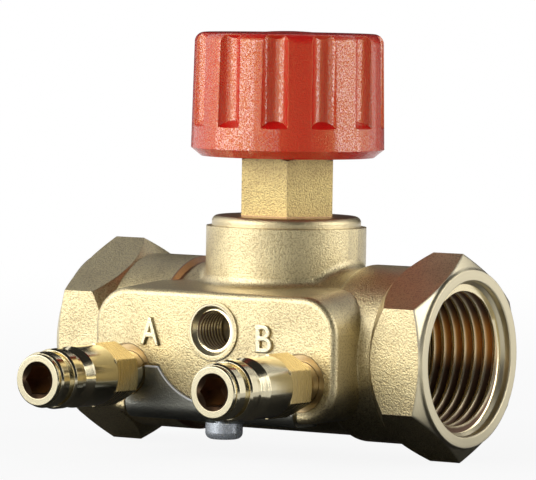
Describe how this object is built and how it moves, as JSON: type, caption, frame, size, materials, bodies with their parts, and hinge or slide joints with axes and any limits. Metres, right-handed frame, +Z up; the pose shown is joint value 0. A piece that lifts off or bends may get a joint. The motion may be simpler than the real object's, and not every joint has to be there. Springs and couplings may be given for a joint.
{
  "type": "shut-off valve",
  "caption": "Brass shut-off valve with threaded pipe ends, a front boss with self-closing test nipples and a threaded port, and a fluted handwheel on a rising spindle.",
  "frame": {"origin": "on the pipe axis, where the pipe thread of side A begins", "axes": "+X along the pipe from side A to side B, +Z up the spindle to the knob, -Y out of the front boss along the test nipples"},
  "size_m": [0.079, 0.0675, 0.0759],
  "materials": {
    "forged_brass": "matt, blasted",
    "turned_brass": "turned, satin",
    "inner_brass": "turned, satin",
    "red_plastic": "fine grained",
    "plate_steel": "rolled, galvanised",
    "zinc_steel": "zinc plated",
    "spring_steel": "drawn wire",
    "rubber": "matt"
  },
  "bodies": {
    "valve": {"valve_body": "forged_brass", "headpiece": "turned_brass", "headpiece_seal": "rubber", "cover_plate": "plate_steel", "plate_screw": "zinc_steel", "nipple_a": "turned_brass", "nipple_seal_a": "rubber", "spring_stop_a": "inner_brass", "poppet_spring_a": "spring_steel", "nipple_b": "turned_brass", "nipple_seal_b": "rubber", "spring_stop_b": "inner_brass", "poppet_spring_b": "spring_steel"},
    "cone": {"valve_cone": "inner_brass", "cone_washer": "rubber", "cone_nut": "inner_brass", "cone_clip": "spring_steel"},
    "handwheel": {"spindle": "inner_brass", "spindle_ring_lower": "rubber", "spindle_ring_upper": "rubber", "knob": "red_plastic", "knob_screw": "zinc_steel", "knob_cap": "red_plastic"},
    "plunger_a": {"poppet_a": "inner_brass", "poppet_ring_a": "rubber"},
    "plunger_b": {"poppet_b": "inner_brass", "poppet_ring_b": "rubber"}
  },
  "joints": [
    {"name": "cone_lift", "type": "slide", "parent": "valve", "child": "cone", "axis": [0, 0, 1], "range_m": [-0.0045, 0]},
    {"name": "handwheel_turn", "type": "hinge", "parent": "cone", "child": "handwheel", "pos_m": [0.03767, 0, 0.03], "axis": [0, 0, 1], "range_deg": [-1080, 0]},
    {"name": "plunger_a_push", "type": "slide", "parent": "valve", "child": "plunger_a", "axis": [0, 1, 0], "range_m": [0, 0.002], "stiffness_N_per_m": 300, "springref_m": -0.0005, "deforming": ["poppet_spring_a"]},
    {"name": "plunger_b_push", "type": "slide", "parent": "valve", "child": "plunger_b", "axis": [0, 1, 0], "range_m": [0, 0.002], "stiffness_N_per_m": 300, "springref_m": -0.0005, "deforming": ["poppet_spring_b"]}
  ],
  "couplings": [
    {"joint": "handwheel_turn", "follows": "cone_lift", "rad_per_m": 4188.8}
  ]
}
